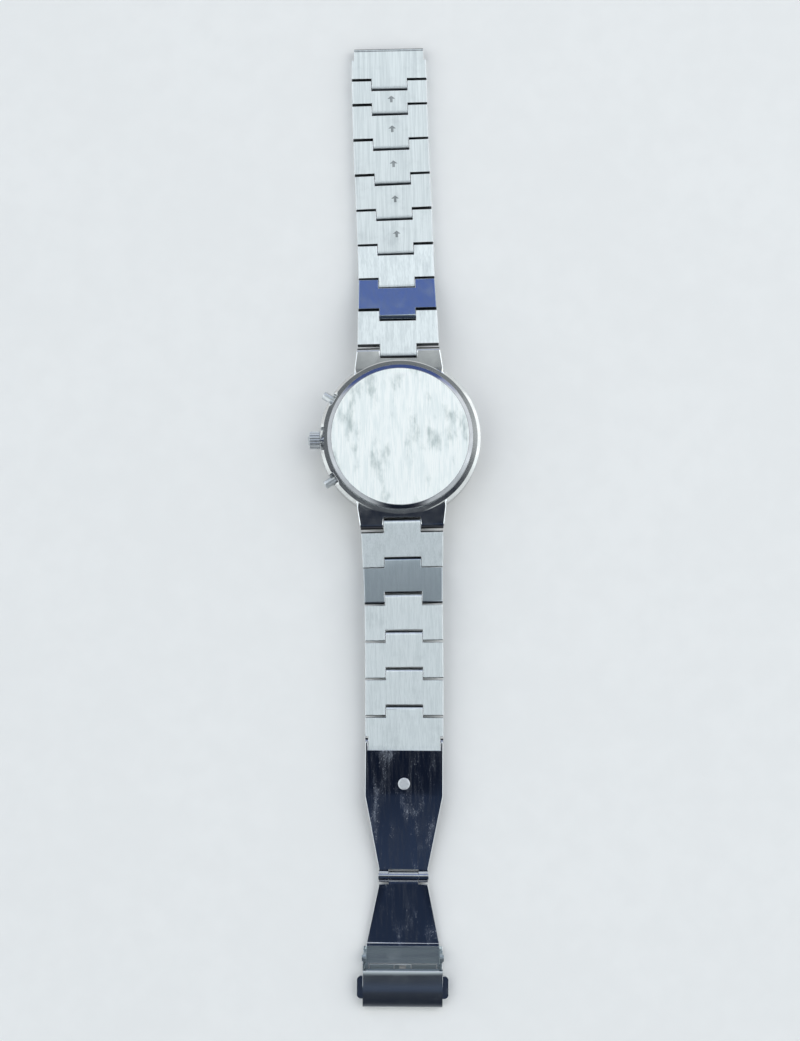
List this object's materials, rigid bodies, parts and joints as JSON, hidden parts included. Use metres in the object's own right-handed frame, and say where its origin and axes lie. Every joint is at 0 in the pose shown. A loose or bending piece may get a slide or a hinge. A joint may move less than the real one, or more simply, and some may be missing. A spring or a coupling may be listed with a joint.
{
  "type": "analog wristwatch",
  "caption": "Round steel chronograph wristwatch lying on its face, with a bending link bracelet, a folding push-button clasp, a pulled-out crown and sprung pushers.",
  "frame": {"origin": "centre of the crystal's outer face, on the axis of the case, where the watch lies on its face", "axes": "+Z from the crystal out of the case back, +Y along the bracelet from the case towards twelve o'clock, and the crown on -X"},
  "size_m": [0.0408, 0.2291, 0.0088],
  "materials": {
    "case_steel": "polished",
    "back_steel": "brushed",
    "gasket_black": "matt",
    "crystal_glass": "clear",
    "dial_blue": "satin",
    "ring_silver": "satin",
    "marker_bright": "polished",
    "movement_gilt": "satin",
    "holder_white": "matt",
    "battery_steel": "satin",
    "tube_steel": "turned",
    "hand_bright": "polished",
    "hand_red": "satin",
    "crown_steel": "polished",
    "link_steel": "brushed lengthwise",
    "pin_steel": "polished",
    "blade_steel": "mirror with scratches",
    "cover_steel": "satin",
    "button_steel": "polished",
    "spring_steel": "drawn wire"
  },
  "bodies": {
    "case": {"case_middle": "case_steel", "case_back": "back_steel", "case_gaskets": "gasket_black", "crystal": "crystal_glass", "dial": "dial_blue", "dial_ring": "ring_silver", "hour_markers": "marker_bright", "movement": "movement_gilt", "movement_holder": "holder_white", "battery": "battery_steel", "case_tubes": "tube_steel", "lug_spring_bars": "pin_steel", "pusher_springs": "spring_steel"},
    "upper_link_1": {"upper_link_1": "link_steel", "upper_pin_1": "pin_steel"},
    "upper_link_2": {"upper_link_2": "link_steel", "upper_pin_2": "pin_steel"},
    "upper_link_3": {"upper_link_3": "link_steel", "upper_pin_3": "pin_steel"},
    "upper_link_4": {"upper_link_4": "link_steel", "upper_pin_4": "pin_steel"},
    "upper_link_5": {"upper_link_5": "link_steel", "upper_pin_5": "pin_steel"},
    "upper_link_6": {"upper_link_6": "link_steel", "upper_pin_6": "pin_steel"},
    "upper_link_7": {"upper_link_7": "link_steel", "upper_pin_7": "pin_steel"},
    "upper_link_8": {"upper_link_8": "link_steel", "upper_pin_8": "pin_steel"},
    "upper_link_9": {"upper_link_9": "link_steel"},
    "lower_link_1": {"lower_link_1": "link_steel", "lower_pin_1": "pin_steel"},
    "lower_link_2": {"lower_link_2": "link_steel", "lower_pin_2": "pin_steel"},
    "lower_link_3": {"lower_link_3": "link_steel", "lower_pin_3": "pin_steel"},
    "lower_link_4": {"lower_link_4": "link_steel", "lower_pin_4": "pin_steel"},
    "lower_link_5": {"lower_link_5": "link_steel", "lower_pin_5": "pin_steel"},
    "lower_link_6": {"lower_link_6": "link_steel"},
    "clasp_inner": {"clasp_inner_blade": "blade_steel", "clasp_stud": "pin_steel", "lower_pin_6": "pin_steel"},
    "clasp_outer": {"clasp_outer_blade": "blade_steel", "clasp_hinge_pin": "pin_steel", "clasp_cover": "cover_steel"},
    "left_release_button": {"left_release_button": "button_steel"},
    "right_release_button": {"right_release_button": "button_steel"},
    "setting_lever": {"setting_lever": "spring_steel"},
    "crown": {"crown": "crown_steel", "crown_stem": "tube_steel"},
    "start_pusher": {"start_pusher": "crown_steel"},
    "reset_pusher": {"reset_pusher": "crown_steel"},
    "small_seconds_hand": {"small_seconds_hand": "hand_bright"},
    "minute_hand": {"minute_hand": "hand_bright"},
    "hour_hand": {"hour_hand": "hand_bright"},
    "day_counter_hand": {"day_counter_hand": "hand_bright"},
    "chrono_seconds_hand": {"chrono_seconds_hand": "hand_red"},
    "minute_counter_hand": {"minute_counter_hand": "hand_bright"}
  },
  "joints": [
    {"name": "upper_bend_1", "type": "hinge", "parent": "case", "child": "upper_link_1", "pos_m": [0, 0.0204, 0.0059], "axis": [1, 0, 0], "range_deg": [-13, 27]},
    {"name": "upper_bend_2", "type": "hinge", "parent": "upper_link_1", "child": "upper_link_2", "pos_m": [0, 0.0295, 0.0051], "axis": [1, 0.0035, 0], "range_deg": [-3.67, 36.33]},
    {"name": "upper_bend_3", "type": "hinge", "parent": "upper_link_2", "child": "upper_link_3", "pos_m": [-0.00003, 0.03773, 0.00221], "axis": [0.9999, 0.0105, 0], "range_deg": [-31.33, 8.67]},
    {"name": "upper_bend_4", "type": "hinge", "parent": "upper_link_3", "child": "upper_link_4", "pos_m": [-0.00012, 0.04641, 0.0013], "axis": [0.9998, 0.0192, 0], "range_deg": [-23, 17]},
    {"name": "upper_bend_5", "type": "hinge", "parent": "upper_link_4", "child": "upper_link_5", "pos_m": [-0.00029, 0.05514, 0.00115], "axis": [0.9997, 0.0262, 0], "range_deg": [-19, 21]},
    {"name": "upper_bend_6", "type": "hinge", "parent": "upper_link_5", "child": "upper_link_6", "pos_m": [-0.00052, 0.06387, 0.00115], "axis": [0.9998, 0.0209, 0], "range_deg": [-18, 22]},
    {"name": "upper_bend_7", "type": "hinge", "parent": "upper_link_6", "child": "upper_link_7", "pos_m": [-0.0007, 0.0726, 0.00115], "axis": [0.9999, 0.0122, 0], "range_deg": [-18, 22]},
    {"name": "upper_bend_8", "type": "hinge", "parent": "upper_link_7", "child": "upper_link_8", "pos_m": [-0.00081, 0.08133, 0.00115], "axis": [1, 0.0035, 0], "range_deg": [-18, 22]},
    {"name": "upper_bend_9", "type": "hinge", "parent": "upper_link_8", "child": "upper_link_9", "pos_m": [-0.00083, 0.08753, 0.00115], "axis": [1, 0, 0], "range_deg": [-18, 22]},
    {"name": "lower_bend_1", "type": "hinge", "parent": "case", "child": "lower_link_1", "pos_m": [0, -0.0204, 0.0059], "axis": [-1, 0, 0], "range_deg": [-3, 37]},
    {"name": "lower_bend_2", "type": "hinge", "parent": "lower_link_1", "child": "lower_link_2", "pos_m": [0, -0.02922, 0.00354], "axis": [-1, 0.0035, 0], "range_deg": [-39, 1]},
    {"name": "lower_bend_3", "type": "hinge", "parent": "lower_link_2", "child": "lower_link_3", "pos_m": [-0.00003, -0.0379, 0.00445], "axis": [-1, 0.0052, 0], "range_deg": [-8.61, 31.39]},
    {"name": "lower_bend_4", "type": "hinge", "parent": "lower_link_3", "child": "lower_link_4", "pos_m": [-0.00008, -0.04662, 0.00393], "axis": [-0.9999, 0.0122, 0], "range_deg": [-18, 22]},
    {"name": "lower_bend_5", "type": "hinge", "parent": "lower_link_4", "child": "lower_link_5", "pos_m": [-0.00018, -0.05533, 0.00342], "axis": [-0.9998, 0.0209, 0], "range_deg": [-18, 22]},
    {"name": "lower_bend_6", "type": "hinge", "parent": "lower_link_5", "child": "lower_link_6", "pos_m": [-0.00036, -0.06404, 0.0029], "axis": [-0.9997, 0.0244, 0], "range_deg": [-18, 22]},
    {"name": "clasp_bend", "type": "hinge", "parent": "lower_link_6", "child": "clasp_inner", "pos_m": [-0.00055, -0.07163, 0.00245], "axis": [-0.9996, 0.0279, 0], "range_deg": [-6, 22]},
    {"name": "clasp_fold", "type": "hinge", "parent": "clasp_inner", "child": "clasp_outer", "pos_m": [-0.00141, -0.10241, 0.0013], "axis": [0.9996, -0.0279, 0], "range_deg": [-2, 177.28]},
    {"name": "left_release_press", "type": "slide", "parent": "clasp_outer", "child": "left_release_button", "axis": [0.9996, -0.0279, 0], "range_m": [0, 0.0009], "stiffness_N_per_m": 600, "springref_m": -0.0008},
    {"name": "right_release_press", "type": "slide", "parent": "clasp_outer", "child": "right_release_button", "axis": [-0.9996, 0.0279, 0], "range_m": [0, 0.0009], "stiffness_N_per_m": 600, "springref_m": -0.0008},
    {"name": "crown_pull", "type": "slide", "parent": "case", "child": "setting_lever", "axis": [-1, 0, 0], "range_m": [-0.00085, 0]},
    {"name": "crown_turn", "type": "hinge", "parent": "setting_lever", "child": "crown", "pos_m": [-0.019, 0, 0.00495], "axis": [-1, 0, 0], "continuous": true},
    {"name": "start_press", "type": "slide", "parent": "case", "child": "start_pusher", "axis": [0.8572, 0.515, 0], "range_m": [0, 0.0008], "stiffness_N_per_m": 800, "springref_m": -0.0008, "deforming": ["pusher_springs"]},
    {"name": "reset_press", "type": "slide", "parent": "case", "child": "reset_pusher", "axis": [0.8572, -0.515, 0], "range_m": [0, 0.0008], "stiffness_N_per_m": 800, "springref_m": -0.0008, "deforming": ["pusher_springs"]},
    {"name": "small_seconds_turn", "type": "hinge", "parent": "case", "child": "small_seconds_hand", "pos_m": [0, -0.0066, 0.0035], "axis": [0, 0, 1], "continuous": true},
    {"name": "minute_turn", "type": "hinge", "parent": "case", "child": "minute_hand", "pos_m": [0, 0, 0.0035], "axis": [0, 0, 1], "continuous": true},
    {"name": "hour_turn", "type": "hinge", "parent": "case", "child": "hour_hand", "pos_m": [0, 0, 0.0035], "axis": [0, 0, 1], "continuous": true},
    {"name": "day_counter_turn", "type": "hinge", "parent": "case", "child": "day_counter_hand", "pos_m": [-0.0066, 0, 0.0035], "axis": [0, 0, 1], "continuous": true},
    {"name": "chrono_seconds_turn", "type": "hinge", "parent": "case", "child": "chrono_seconds_hand", "pos_m": [0, 0, 0.0035], "axis": [0, 0, 1], "continuous": true},
    {"name": "minute_counter_turn", "type": "hinge", "parent": "case", "child": "minute_counter_hand", "pos_m": [0.0066, 0, 0.0035], "axis": [0, 0, 1], "continuous": true}
  ],
  "couplings": [
    {"joint": "minute_turn", "follows": "small_seconds_turn", "ratio": 0.016667},
    {"joint": "hour_turn", "follows": "small_seconds_turn", "ratio": 0.0013889},
    {"joint": "day_counter_turn", "follows": "small_seconds_turn", "ratio": 0.00069444},
    {"joint": "minute_counter_turn", "follows": "chrono_seconds_turn", "ratio": 0.016667}
  ]
}
